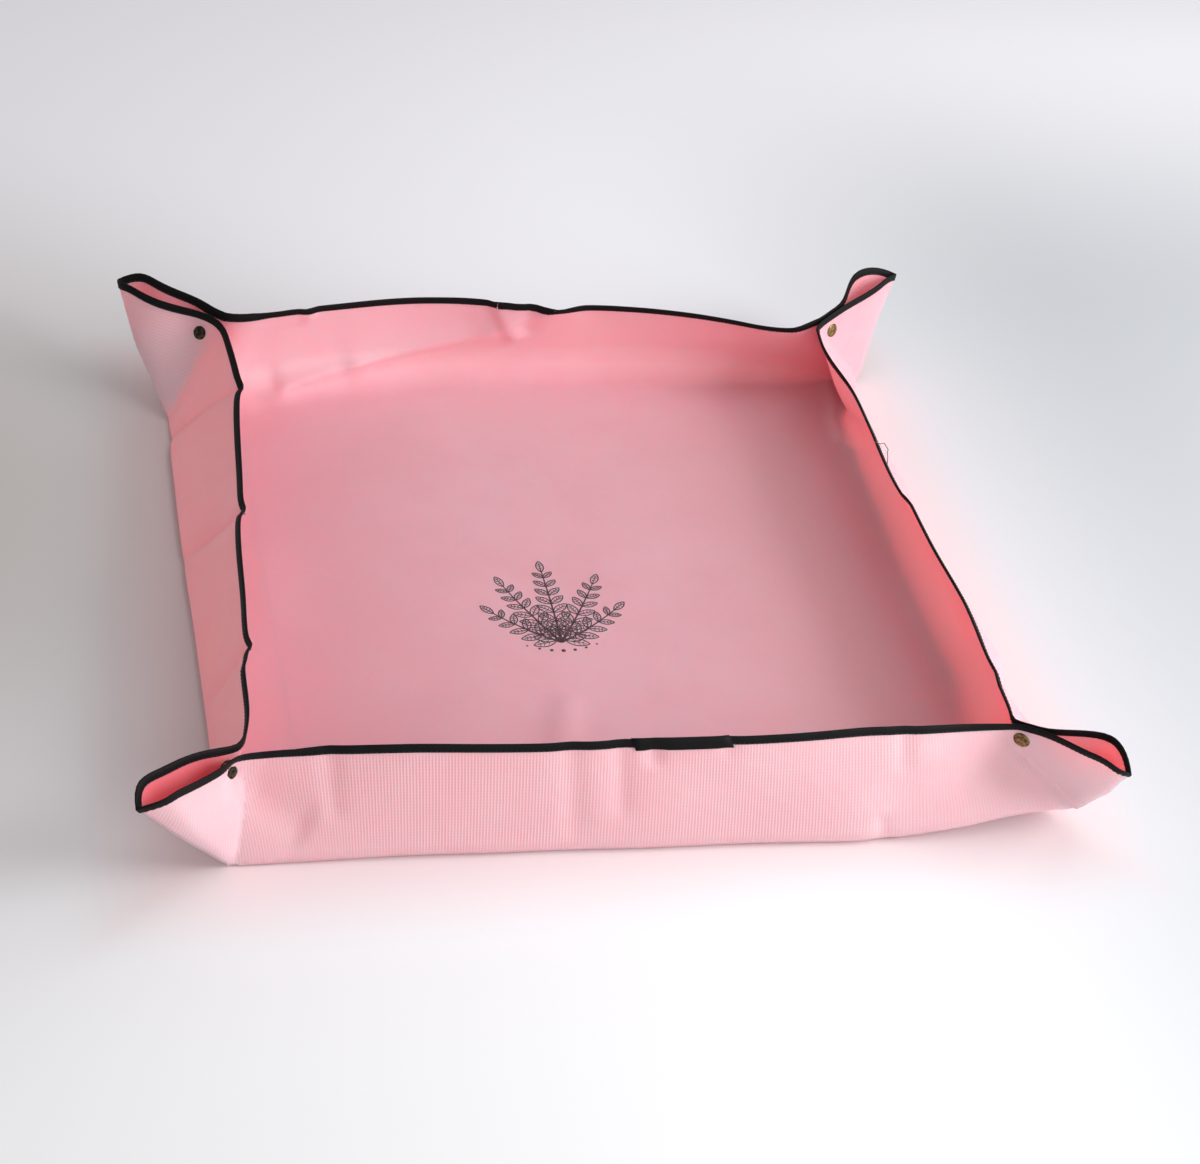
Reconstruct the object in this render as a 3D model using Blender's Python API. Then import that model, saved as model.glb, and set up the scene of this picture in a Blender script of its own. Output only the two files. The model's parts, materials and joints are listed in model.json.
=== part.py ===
"""Repotting mat: a square coated sheet whose four corners are pinched and snapped to make a tray.

Metres, +Z up. The mat stands on z = 0 with its centre at the origin, and its front wall faces -Y.
The sheet and its edge tape are divided at the creases into panels, so that the tray can unfold.
Each wall is laid out flat in its own frame: x along the wall, y outward from its crease and z up
from the sheet's underside. Folding turns that layout up, and a quarter turn about Z places it.
"""

import math

import bmesh
import bpy
from mathutils import Matrix, Vector

# The sheet, cut square with round corners
SHEET_SIDE = 0.750
SHEET_THICKNESS = 0.0008
CORNER_RADIUS = 0.038
CREASE_INSET = 0.081
PINCH_RUN = 0.112
PANEL_GAP = 0.0003
EAR_FOOT_CLEARANCE = 0.0009
MERGE_DISTANCE = 0.000003

# How far the middle of each wall's rim stands outside the line between its two pinched corners
WALL_BOWS = {"front": 0.018, "right": 0.010, "back": 0.024, "left": -0.005}
WALL_STATIONS = 20

# Each ear half bulges away from the other between the snap and the tip, which leaves an open loop
LOOP_BOW = 0.0075
LOOP_SKEW_SHARE = 1.25
LOOP_STATIONS = 4
ARC_STATIONS = 4
HALF_CORNER = math.radians(45)

# Folded tape round the edge
TAPE_WIDTH = 0.0080
TAPE_THICKNESS = 0.0005

# Ring-spring snap fastener
SNAP_FROM_FOLD = 0.0095
SNAP_FROM_EDGE = 0.0155
CAP_DIAMETER = 0.0125
CAP_EDGE_HEIGHT = 0.0008
CAP_DOME_HEIGHT = 0.0013
CAP_DISH_DIAMETER = 0.0062
CAP_DISH_DEPTH = 0.0003
SHANK_DIAMETER = 0.0030
SHANK_HEAD_DIAMETER = 0.0043
SHANK_HEAD_HEIGHT = 0.0003
SNAP_HOLE_DIAMETER = 0.0038
SOCKET_DIAMETER = 0.0108
SOCKET_HEIGHT = 0.0026
SOCKET_BASE = 0.0004
SOCKET_MOUTH_DIAMETER = 0.0048
SOCKET_LIP = 0.0004
SPRING_WIRE = 0.0005
SPRING_OPEN_ANGLE = math.radians(50)
STUD_DIAMETER = 0.0104
STUD_FLANGE = 0.0006
STUD_HEAD_DIAMETER = 0.0041
STUD_NECK_DIAMETER = 0.0036
STUD_WALL = 0.00025
POST_DIAMETER = 0.0092
POST_EDGE_HEIGHT = 0.0012
POST_BORE = 0.0020
POST_MOUTH_DIAMETER = 0.0042
POST_BARREL_DIAMETER = 0.0026
CAP_SIDES = 20
SNAP_SIDES = 16
WIRE_SIDES = 5
SHARP_ANGLE = math.radians(35)

# Each wall begins at one corner and ends at the next, counter-clockwise seen from above
WALLS = ("front", "right", "back", "left")
WALL_STARTS = {"front": "front_left", "right": "front_right", "back": "back_right", "left": "back_left"}
WALL_ENDS = {"front": "front_right", "right": "back_right", "back": "back_left", "left": "front_left"}

# Sizes that follow: the snap's stack of parts holds the two halves of an ear apart
SHEET_HALF = SHEET_SIDE / 2
FLOOR_HALF = SHEET_HALF - CREASE_INSET
FOLD_LINE = FLOOR_HALF + PANEL_GAP / 2
WALL_RUN = SHEET_HALF - FOLD_LINE
PINCH_ALONG = SHEET_HALF - PINCH_RUN
EAR_GAP = SOCKET_HEIGHT + STUD_FLANGE + 3 * PANEL_GAP
EAR_OFFSET = EAR_GAP / 2 + SHEET_THICKNESS
TAPE_STAND = PANEL_GAP + TAPE_THICKNESS

# The walls lean in until the pinch points of two neighbours meet across the ear's middle plane
WALL_TURN = math.atan2(SHEET_THICKNESS, WALL_RUN) + math.acos(
    (PINCH_ALONG - FOLD_LINE + math.sqrt(2) * EAR_OFFSET) / math.hypot(WALL_RUN, SHEET_THICKNESS)
)
FOOT_ALONG = FOLD_LINE + SHEET_THICKNESS * math.sin(WALL_TURN) - math.sqrt(2) * EAR_OFFSET
EAR_TURN = math.acos(math.sin(WALL_TURN) / math.sqrt(2))
EAR_LEAN = math.atan2(FOOT_ALONG - PINCH_ALONG, WALL_RUN)
EAR_FOLD = Vector((PINCH_ALONG - FOOT_ALONG, WALL_RUN, 0)).normalized()
EAR_FOOT = Vector((FOOT_ALONG, 0, 0))
ACROSS_FOLD = Vector((EAR_FOLD.y, -EAR_FOLD.x, 0))
TAPE_TRIM = TAPE_STAND * math.tan(EAR_TURN / 2) + PANEL_GAP

MATERIALS = {
    "coated_canvas": ((0.86, 0.34, 0.39), 0.55, 0.0),
    "binding_tape": ((0.012, 0.012, 0.013), 0.70, 0.0),
    "antique_brass": ((0.22, 0.15, 0.075), 0.38, 1.0),
    "spring_wire": ((0.55, 0.54, 0.52), 0.30, 1.0),
}


def clear_scene():
    for obj in list(bpy.data.objects):
        bpy.data.objects.remove(obj)


def material(name):
    found = bpy.data.materials.get(name)
    if found:
        return found
    colour, roughness, metallic = MATERIALS[name]
    made = bpy.data.materials.new(name)
    made.use_nodes = True
    shader = made.node_tree.nodes["Principled BSDF"]
    shader.inputs["Base Color"].default_value = (*colour, 1)
    shader.inputs["Roughness"].default_value = roughness
    shader.inputs["Metallic"].default_value = metallic
    return made


def empty_at(name, place, parent=None):
    """A joint's empty, on the joint's axis, which carries the pieces that turn with it."""
    empty = bpy.data.objects.new(name, None)
    bpy.context.scene.collection.objects.link(empty)
    empty.location = place - parent.matrix_world.translation if parent else place
    empty.parent = parent
    bpy.context.view_layer.update()
    return empty


def finished_mesh(name, bm, finish):
    bmesh.ops.remove_doubles(bm, verts=bm.verts, dist=MERGE_DISTANCE)
    bmesh.ops.recalc_face_normals(bm, faces=bm.faces)
    mesh = bpy.data.meshes.new(name)
    bm.to_mesh(mesh)
    bm.free()
    mesh.materials.append(material(finish))
    return mesh


def add_object(name, mesh, parent, place):
    """Places a mesh in the world, and lets it ride on its joint's empty."""
    obj = bpy.data.objects.new(name, mesh)
    bpy.context.scene.collection.objects.link(obj)
    obj.parent = parent
    obj.matrix_basis = Matrix.Translation(-parent.matrix_world.translation) @ place
    return obj


def panel_object(name, bm, finish, parent):
    """A panel whose points are in world places: its origin goes to the joint's empty."""
    origin = parent.matrix_world.translation
    bmesh.ops.translate(bm, verts=bm.verts, vec=-origin)
    return add_object(name, finished_mesh(name, bm, finish), parent, Matrix.Translation(origin))


def flat_outline(points):
    """One face over a flat outline, which is divided before it is thickened."""
    bm = bmesh.new()
    bm.faces.new([bm.verts.new((x, y, 0)) for x, y in points])
    return bm


def thicken(bm):
    up = bmesh.ops.extrude_face_region(bm, geom=list(bm.faces))["geom"]
    raised = [item for item in up if isinstance(item, bmesh.types.BMVert)]
    bmesh.ops.translate(bm, verts=raised, vec=(0, 0, SHEET_THICKNESS))


def cut(bm, point, normal, drop=False):
    """Divides the mesh along a plane. Drop takes away the part that the normal points to."""
    geometry = list(bm.verts) + list(bm.edges) + list(bm.faces)
    made = bmesh.ops.bisect_plane(
        bm, geom=geometry, dist=MERGE_DISTANCE / 10, plane_co=point, plane_no=normal, clear_outer=drop
    )
    return [item for item in made["geom_cut"] if isinstance(item, bmesh.types.BMEdge)]


def cut_off(bm, point, normal):
    """Cuts the end off a solid, and closes it."""
    bmesh.ops.edgeloop_fill(bm, edges=cut(bm, point, normal, drop=True))


def wall_half_length(out):
    """Half the wall's length at a distance out from its crease: the ear folds are its slanted ends."""
    return FOOT_ALONG + (PINCH_ALONG - FOOT_ALONG) * out / WALL_RUN


def snap_spot():
    """The snap's middle in the flat layout, from its distances to the edge and to the ear fold."""
    out = WALL_RUN - SNAP_FROM_EDGE
    return Vector((wall_half_length(out) + SNAP_FROM_FOLD / math.cos(EAR_LEAN), out, 0))


def arc_point(angle, radius=CORNER_RADIUS):
    """A point on the sheet's round corner, from 0 at the straight edge to 45 degrees at the middle."""
    centre = Vector((SHEET_HALF - CORNER_RADIUS, WALL_RUN - CORNER_RADIUS, 0))
    return centre + radius * Vector((math.sin(angle), math.cos(angle), 0))


def corner_arc():
    return [arc_point(HALF_CORNER * index / ARC_STATIONS) for index in range(ARC_STATIONS + 1)]


def loop_stations():
    """Points on the sheet's edge, from the end of the snap's flat spot to the tip, with each one's bow."""
    spot = snap_spot() - EAR_FOOT
    flat = EAR_FOLD.angle(spot) + math.asin((CAP_DIAMETER / 2 + PANEL_GAP) / spot.length)
    reach = math.atan2(EAR_FOLD.x, EAR_FOLD.y) + flat
    first = EAR_FOOT + Vector((WALL_RUN * math.tan(reach), WALL_RUN, 0))
    bend = arc_point(0)
    edge = [first.lerp(bend, index / LOOP_STATIONS) for index in range(LOOP_STATIONS)]
    edge += corner_arc()
    last = EAR_FOLD.angle(edge[-1] - EAR_FOOT)
    stations = []
    for point in edge:
        arm = point - EAR_FOOT
        share = (EAR_FOLD.angle(arm) - flat) / (last - flat)
        bow = math.sin(math.pi * min(max(share, 0), 1) ** LOOP_SKEW_SHARE)
        stations.append((arm, LOOP_BOW * bow * arm.length / (edge[-1] - EAR_FOOT).length))
    return stations


def loop_drop(point, stations):
    """How far a point of the ear bulges: straight lines from the foot to the edge keep each facet flat."""
    arm = point - EAR_FOOT
    for (left, left_bow), (right, right_bow) in zip(stations, stations[1:]):
        area = left.x * right.y - left.y * right.x
        share_left = (arm.x * right.y - arm.y * right.x) / area
        share_right = (left.x * arm.y - left.y * arm.x) / area
        if share_left >= 0 and share_right >= 0:
            return share_left * left_bow + share_right * right_bow
    return 0


def turn_wall(point, bow):
    """Turns a point of the flat layout up about the crease, less where the rim bows outward."""
    length = wall_half_length(point.y)
    share = min(abs(point.x) / length, 1)
    angle = WALL_TURN - math.asin(bow / WALL_RUN) * (1 - share**2)
    depth = SHEET_THICKNESS - point.z
    out = FOLD_LINE + point.y * math.cos(angle) + depth * math.sin(angle)
    return Vector((point.x, -out, SHEET_THICKNESS + point.y * math.sin(angle) - depth * math.cos(angle)))


def turn_ear(point, side, stations):
    """Turns a point of an ear half about its fold, on the sheet's outer face, then up with its wall."""
    near = Vector((side * point.x, point.y, 0))
    lifted = Vector((side * point.x, point.y, point.z - loop_drop(near, stations)))
    turned = EAR_FOOT + Matrix.Rotation(EAR_TURN, 3, EAR_FOLD) @ (lifted - EAR_FOOT)
    return turn_wall(Vector((side * turned.x, turned.y, turned.z)), 0)


def quarter_turn(wall):
    return Matrix.Rotation(math.radians(90) * WALLS.index(wall), 4, "Z")


def fold(bm, wall, turn):
    """Moves every point of a flat layout to its folded place in the world."""
    place = quarter_turn(wall)
    for vert in bm.verts:
        vert.co = place @ turn(vert.co)


def tape_section(bm, along):
    """The folded tape's U section round the sheet's edge, as one face across the wall."""
    root = WALL_RUN + TAPE_STAND - TAPE_WIDTH
    top = SHEET_THICKNESS
    outline = [
        (root, -TAPE_STAND),
        (WALL_RUN + TAPE_STAND, -TAPE_STAND),
        (WALL_RUN + TAPE_STAND, top + TAPE_STAND),
        (root, top + TAPE_STAND),
        (root, top + PANEL_GAP),
        (WALL_RUN + PANEL_GAP, top + PANEL_GAP),
        (WALL_RUN + PANEL_GAP, -PANEL_GAP),
        (root, -PANEL_GAP),
    ]
    return bm.faces.new([bm.verts.new((along, out, up)) for out, up in outline])


def mirror_layout(bm, side):
    """Layouts are drawn for a wall's far end, and the near end is their mirror image."""
    if side < 0:
        bmesh.ops.scale(bm, verts=bm.verts, vec=(-1, 1, 1))


def floor_panel(parent):
    corners = [(-FLOOR_HALF, -FLOOR_HALF), (FLOOR_HALF, -FLOOR_HALF), (FLOOR_HALF, FLOOR_HALF)]
    bm = flat_outline(corners + [(-FLOOR_HALF, FLOOR_HALF)])
    thicken(bm)
    return panel_object("floor_panel", bm, "coated_canvas", parent)


def wall_stations():
    return [2 * index / WALL_STATIONS - 1 for index in range(1, WALL_STATIONS)]


def divide_wall(bm):
    """Cuts across the wall, fanned so that each cut stays at one share of the wall's length."""
    for share in wall_stations():
        foot = Vector((share * wall_half_length(0), 0, 0))
        rim = Vector((share * wall_half_length(WALL_RUN), WALL_RUN, 0))
        line = (rim - foot).normalized()
        cut(bm, foot, Vector((line.y, -line.x, 0)))


def wall_panel(wall, parent):
    slack = PANEL_GAP / 2 / math.cos(EAR_LEAN)
    base = PANEL_GAP / 2
    low = wall_half_length(base) - slack
    high = wall_half_length(WALL_RUN) - slack
    bm = flat_outline([(-low, base), (low, base), (high, WALL_RUN), (-high, WALL_RUN)])
    cut(bm, (0, WALL_RUN - TAPE_WIDTH, 0), (0, 1, 0))
    divide_wall(bm)
    thicken(bm)
    fold(bm, wall, lambda point: turn_wall(point, WALL_BOWS[wall]))
    return panel_object(f"{wall}_wall_panel", bm, "coated_canvas", parent)


def wall_binding(wall, parent):
    bm = bmesh.new()
    start = tape_section(bm, -SHEET_HALF)
    made = bmesh.ops.extrude_face_region(bm, geom=[start])["geom"]
    far = [item for item in made if isinstance(item, bmesh.types.BMVert)]
    bmesh.ops.translate(bm, verts=far, vec=(SHEET_SIDE, 0, 0))
    end = EAR_FOOT - ACROSS_FOLD * TAPE_TRIM
    cut_off(bm, end, ACROSS_FOLD)
    cut_off(bm, (-end.x, end.y, 0), (-ACROSS_FOLD.x, ACROSS_FOLD.y, 0))
    divide_wall(bm)
    fold(bm, wall, lambda point: turn_wall(point, WALL_BOWS[wall]))
    return panel_object(f"{wall}_wall_binding", bm, "binding_tape", parent)


def ear_diagonal():
    """A point on the ear half's last edge, beside the sheet's diagonal where the other half begins."""
    return Vector((FOLD_LINE - PANEL_GAP / math.sqrt(2), 0, 0))


def divide_ear(bm, stations):
    for arm, _ in stations[:-1]:
        cut(bm, EAR_FOOT, (arm.y, -arm.x, 0))


def ear_panel(wall, side, corner, parent):
    stations = loop_stations()
    fold_foot = EAR_FOOT + ACROSS_FOLD * PANEL_GAP / 2
    base = EAR_FOOT_CLEARANCE
    slide = EAR_FOLD.x / EAR_FOLD.y
    foot = (fold_foot.x + slide * (base - fold_foot.y), base)
    pinch = (fold_foot.x + slide * (WALL_RUN - fold_foot.y), WALL_RUN)
    past = arc_point(HALF_CORNER * (ARC_STATIONS + 1) / ARC_STATIONS)
    rounded = [(point.x, point.y) for point in [past] + corner_arc()[::-1]]
    outline = [foot, (SHEET_HALF, base)] + rounded + [pinch]
    bm = flat_outline(outline)
    cut(bm, ear_diagonal(), (1, -1, 0), drop=True)
    divide_ear(bm, stations)
    thicken(bm)
    mirror_layout(bm, side)
    fold(bm, wall, lambda point: turn_ear(point, side, stations))
    return panel_object(f"{corner}_ear_{wall}_side", bm, "coated_canvas", parent)


def ear_binding(wall, side, corner, parent):
    stations = loop_stations()
    bm = bmesh.new()
    start = tape_section(bm, PINCH_ALONG - TAPE_WIDTH)
    made = bmesh.ops.extrude_face_region(bm, geom=[start])["geom"]
    face = [item for item in made if isinstance(item, bmesh.types.BMFace)][0]
    straight = arc_point(0).x - PINCH_ALONG + TAPE_WIDTH
    bmesh.ops.translate(bm, verts=face.verts, vec=(straight, 0, 0))
    bmesh.ops.spin(
        bm,
        geom=[face],
        cent=arc_point(0, 0),
        axis=(0, 0, -1),
        angle=HALF_CORNER * (ARC_STATIONS + 1) / ARC_STATIONS,
        steps=ARC_STATIONS + 1,
    )
    bmesh.ops.delete(bm, geom=[face], context="FACES_ONLY")
    cut_off(bm, EAR_FOOT + ACROSS_FOLD * TAPE_TRIM, -ACROSS_FOLD)
    cut_off(bm, ear_diagonal(), (1, -1, 0))
    divide_ear(bm, stations)
    mirror_layout(bm, side)
    fold(bm, wall, lambda point: turn_ear(point, side, stations))
    return panel_object(f"{corner}_binding_{wall}_side", bm, "binding_tape", parent)


def turned(name, profile, finish, sides):
    """Turns a section given as (radius, height) about Z. The section is closed, or it ends on the axis."""
    bm = bmesh.new()
    verts = [bm.verts.new((radius, 0, height)) for radius, height in profile]
    edges = [bm.edges.new(pair) for pair in zip(verts, verts[1:])]
    if profile[0][0] > 0:
        edges.append(bm.edges.new((verts[-1], verts[0])))
    bmesh.ops.spin(
        bm,
        geom=verts + edges,
        cent=(0, 0, 0),
        axis=(0, 0, 1),
        angle=math.radians(360),
        steps=sides,
        use_merge=True,
    )
    mesh = finished_mesh(name, bm, finish)
    mesh.shade_smooth()
    mesh.set_sharp_from_angle(angle=SHARP_ANGLE)
    return mesh


# Heights in the snap, measured along its axis from the ear's middle plane toward the cap
CAP_SEAT = EAR_GAP / 2 + SHEET_THICKNESS + PANEL_GAP
SOCKET_TOP = EAR_GAP / 2 - PANEL_GAP
SOCKET_FACE = SOCKET_TOP - SOCKET_HEIGHT
STUD_FACE = SOCKET_FACE - PANEL_GAP
STUD_BACK = STUD_FACE - STUD_FLANGE
SHANK_HEAD_TOP = SOCKET_TOP - SOCKET_BASE - PANEL_GAP
SHANK_HEAD_FACE = SHANK_HEAD_TOP - SHANK_HEAD_HEIGHT
STUD_TIP = SHANK_HEAD_FACE - PANEL_GAP
POST_SEAT = -CAP_SEAT
SPRING_LEVEL = SOCKET_FACE + SOCKET_LIP + PANEL_GAP + SPRING_WIRE / 2
SPRING_RADIUS = STUD_HEAD_DIAMETER / 2 + PANEL_GAP + SPRING_WIRE / 2


def cap_mesh():
    rim = CAP_DIAMETER / 2
    shank = SHANK_DIAMETER / 2
    dish = CAP_DISH_DIAMETER / 2
    edge = CAP_SEAT + CAP_EDGE_HEIGHT
    dome = edge + CAP_DOME_HEIGHT
    profile = [
        (0, SHANK_HEAD_FACE),
        (SHANK_HEAD_DIAMETER / 2, SHANK_HEAD_FACE),
        (SHANK_HEAD_DIAMETER / 2, SHANK_HEAD_TOP),
        (shank, SHANK_HEAD_TOP),
        (shank, CAP_SEAT),
        (rim - CAP_EDGE_HEIGHT / 2, CAP_SEAT),
        (rim, CAP_SEAT + CAP_EDGE_HEIGHT / 2),
        (rim - CAP_EDGE_HEIGHT / 4, edge),
        ((rim + dish) / 2, (edge + dome) / 2 + CAP_DOME_HEIGHT / 4),
        (dish, dome),
        (dish / 2, dome - CAP_DISH_DEPTH),
        (0, dome - CAP_DISH_DEPTH),
    ]
    return turned("snap_cap", profile, "antique_brass", CAP_SIDES)


def socket_mesh():
    rim = SOCKET_DIAMETER / 2
    hole = SHANK_DIAMETER / 2 + PANEL_GAP
    mouth = SOCKET_MOUTH_DIAMETER / 2
    groove = SPRING_RADIUS + SPRING_WIRE / 2 + PANEL_GAP
    groove_top = SPRING_LEVEL + SPRING_WIRE / 2 + PANEL_GAP
    profile = [
        (hole, SOCKET_TOP),
        (rim, SOCKET_TOP),
        (rim, SOCKET_TOP - SOCKET_BASE),
        (groove + SOCKET_BASE, SOCKET_TOP - 2 * SOCKET_BASE),
        (groove + SOCKET_BASE, SOCKET_FACE + SOCKET_LIP / 2),
        (groove, SOCKET_FACE),
        (mouth, SOCKET_FACE),
        (mouth, SOCKET_FACE + SOCKET_LIP),
        (groove, SOCKET_FACE + SOCKET_LIP),
        (groove, groove_top),
        (SHANK_HEAD_DIAMETER / 2 + PANEL_GAP, groove_top),
        (SHANK_HEAD_DIAMETER / 2 + PANEL_GAP, SOCKET_TOP - SOCKET_BASE),
        (hole, SOCKET_TOP - SOCKET_BASE),
    ]
    return turned("snap_socket", profile, "antique_brass", SNAP_SIDES)


def spring_mesh():
    """The split wire ring that grips the stud's neck."""
    bm = bmesh.new()
    radius = SPRING_WIRE / 2
    ring = bmesh.ops.create_circle(bm, cap_ends=True, radius=radius, segments=WIRE_SIDES)["verts"]
    bmesh.ops.rotate(bm, verts=ring, matrix=Matrix.Rotation(math.radians(90), 3, "X"))
    bmesh.ops.translate(bm, verts=ring, vec=(SPRING_RADIUS, 0, SPRING_LEVEL))
    bmesh.ops.spin(
        bm,
        geom=list(bm.faces),
        cent=(0, 0, 0),
        axis=(0, 0, 1),
        angle=math.radians(360) - SPRING_OPEN_ANGLE,
        steps=SNAP_SIDES,
    )
    return finished_mesh("snap_spring", bm, "spring_wire")


def stud_mesh():
    rim = STUD_DIAMETER / 2
    head = STUD_HEAD_DIAMETER / 2
    neck = STUD_NECK_DIAMETER / 2
    hole = neck - STUD_WALL
    neck_top = (STUD_FACE + STUD_TIP) / 2
    profile = [
        (hole, STUD_BACK),
        (rim, STUD_BACK),
        (rim, STUD_FACE - STUD_FLANGE / 3),
        (rim - STUD_FLANGE / 3, STUD_FACE),
        (neck, STUD_FACE),
        (neck, neck_top - STUD_WALL),
        (head, neck_top),
        (head, STUD_TIP - STUD_WALL),
        (neck, STUD_TIP),
        (hole - STUD_WALL, STUD_TIP),
        (hole - STUD_WALL, STUD_TIP - STUD_WALL),
        (hole, STUD_TIP - STUD_WALL),
    ]
    return turned("snap_stud", profile, "antique_brass", SNAP_SIDES)


def post_mesh():
    rim = POST_DIAMETER / 2
    barrel = POST_BARREL_DIAMETER / 2
    bore = POST_BORE / 2
    mouth = POST_MOUTH_DIAMETER / 2
    back = POST_SEAT - POST_EDGE_HEIGHT
    reach = STUD_TIP - STUD_WALL - PANEL_GAP
    profile = [
        (bore, reach),
        (barrel, reach),
        (barrel, POST_SEAT),
        (rim - POST_EDGE_HEIGHT / 3, POST_SEAT),
        (rim, POST_SEAT - POST_EDGE_HEIGHT / 3),
        (rim - POST_EDGE_HEIGHT / 2, back + POST_EDGE_HEIGHT / 8),
        (mouth + POST_EDGE_HEIGHT / 3, back),
        (mouth, back + POST_EDGE_HEIGHT / 4),
        (bore, POST_SEAT),
    ]
    return turned("snap_post", profile, "antique_brass", SNAP_SIDES)


def snap_frame(wall):
    """The snap's axes at a wall's far corner: Z points out through the cap, from the middle plane."""
    stations = loop_stations()
    outer = turn_ear(snap_spot(), 1, stations)
    axis = Vector((-1, -1, 0)).normalized()
    centre = outer - axis * EAR_OFFSET
    up = Vector((0, 0, 1))
    side = up.cross(axis)
    frame = Matrix((side, up, axis)).transposed().to_4x4()
    return quarter_turn(wall) @ Matrix.Translation(centre) @ frame


def cut_snap_hole(panel, frame, name):
    bm = bmesh.new()
    bmesh.ops.create_cone(
        bm,
        cap_ends=True,
        segments=SNAP_SIDES,
        radius1=SNAP_HOLE_DIAMETER / 2,
        radius2=SNAP_HOLE_DIAMETER / 2,
        depth=2 * CAP_SEAT,
    )
    mesh = bpy.data.meshes.new(name)
    bm.to_mesh(mesh)
    bm.free()
    cutter = bpy.data.objects.new(name, mesh)
    bpy.context.scene.collection.objects.link(cutter)
    cutter.matrix_world = frame
    cutter.hide_render = True
    cutter.display_type = "WIRE"
    hole = panel.modifiers.new("snap_hole", "BOOLEAN")
    hole.operation = "DIFFERENCE"
    hole.object = cutter


def build():
    clear_scene()
    mat = empty_at("mat", Vector((0, 0, 0)))
    floor_panel(mat)
    cap_parts = {"cap": cap_mesh(), "socket": socket_mesh(), "spring": spring_mesh()}
    post_parts = {"stud": stud_mesh(), "post": post_mesh()}
    crease = Vector((0, -FOLD_LINE, SHEET_THICKNESS))
    ears = {}
    for wall in WALLS:
        place = quarter_turn(wall)
        hinge = empty_at(f"{wall}_wall_fold", place @ crease, mat)
        wall_panel(wall, hinge)
        wall_binding(wall, hinge)
        for side, corner in ((-1, WALL_STARTS[wall]), (1, WALL_ENDS[wall])):
            foot = place @ turn_wall(Vector((side * FOOT_ALONG, 0, 0)), 0)
            ear = empty_at(f"{corner}_{wall}_ear_fold", foot, hinge)
            panel = ear_panel(wall, side, corner, ear)
            ear_binding(wall, side, corner, ear)
            ears[corner, side] = (ear, panel)
    for wall in WALLS:
        corner = WALL_ENDS[wall]
        frame = snap_frame(wall)
        cap_ear, cap_panel = ears[corner, 1]
        post_ear, post_panel = ears[corner, -1]
        cut_snap_hole(cap_panel, frame, f"{corner}_cap_hole_cutter")
        cut_snap_hole(post_panel, frame, f"{corner}_post_hole_cutter")
        for parts, ear in ((cap_parts, cap_ear), (post_parts, post_ear)):
            for part, mesh in parts.items():
                add_object(f"{corner}_snap_{part}", mesh, ear, frame)
    bpy.context.view_layer.update()


build()
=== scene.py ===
"""Repotting mat: the looks of the snapped tray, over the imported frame.

Metres, +Z up. The cloth is drawn flat, as it was cut, with x and y across the sheet and z off its
middle surface. One folding rule then lifts every piece that is on it: cloth, tape, stitches, print.
"""

import json
import math

import bmesh
import bpy
import numpy as np
from mathutils import Matrix, Vector


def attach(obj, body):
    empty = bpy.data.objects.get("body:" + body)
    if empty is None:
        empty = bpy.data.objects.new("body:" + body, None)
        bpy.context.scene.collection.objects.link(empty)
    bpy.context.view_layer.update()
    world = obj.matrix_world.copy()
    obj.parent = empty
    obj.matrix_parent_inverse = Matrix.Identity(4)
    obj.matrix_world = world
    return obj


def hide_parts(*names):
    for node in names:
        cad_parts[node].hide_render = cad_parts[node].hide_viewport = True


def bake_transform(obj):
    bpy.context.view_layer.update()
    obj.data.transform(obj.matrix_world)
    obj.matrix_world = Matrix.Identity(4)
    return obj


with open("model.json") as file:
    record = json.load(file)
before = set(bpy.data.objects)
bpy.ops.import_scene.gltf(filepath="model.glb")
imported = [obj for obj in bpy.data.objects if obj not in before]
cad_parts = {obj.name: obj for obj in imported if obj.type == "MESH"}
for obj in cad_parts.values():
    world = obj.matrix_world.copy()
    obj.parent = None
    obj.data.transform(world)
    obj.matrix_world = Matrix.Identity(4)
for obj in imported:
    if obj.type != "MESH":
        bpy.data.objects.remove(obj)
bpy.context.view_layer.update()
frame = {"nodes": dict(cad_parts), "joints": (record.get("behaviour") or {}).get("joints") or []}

# The sheet as cut, and where it folds, as the solids have it
SHEET_SIDE = 0.750
SHEET_THICKNESS = 0.0008
CORNER_RADIUS = 0.038
PINCH_RUN = 0.112
FOLD_LINE = 0.29415
FOOT_ALONG = 0.29087
WALL_TURN = math.radians(110.165)
EAR_TURN = math.radians(48.412)
EAR_OFFSET = 0.00285
SHEET_HALF = SHEET_SIDE / 2
WALL_RUN = SHEET_HALF - FOLD_LINE
PINCH_ALONG = SHEET_HALF - PINCH_RUN
EAR_FOLD = np.array((PINCH_ALONG - FOOT_ALONG, WALL_RUN)) / math.hypot(PINCH_ALONG - FOOT_ALONG, WALL_RUN)
ACROSS_FOLD = np.array((EAR_FOLD[1], -EAR_FOLD[0]))
EAR_ANGLE = math.atan2(ACROSS_FOLD.sum(), EAR_FOLD.sum())
SNAP_SPOT = (0.2784, 0.3595)
SNAP_PAST = 0.0095
SNAP_UP = 0.0659

# The cloth's cells, how far inside the base creases the floor piece ends, and where the ears' corners begin
CLOTH_CELL = 0.004
FLOOR_MARGIN = 0.060
EARS_FROM = 0.24
# An ear: how far across its fold it is cut from its wall, the fold's width at the foot and its growth along
# the way, the fold's length, the reach from its foot to the tip, how near the snap the cloth stays flat,
# and the run beyond the fold over which both halves settle as one
EAR_CREASE = 0.007
TIGHT_CREASE = 0.0015
EAR_CREASE_GROWTH = 0.04
EAR_FOLD_LENGTH = 0.0855
EAR_REACH = 0.099
SNAP_HOLD = 0.011
SHARED_RUN = 0.07

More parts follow.
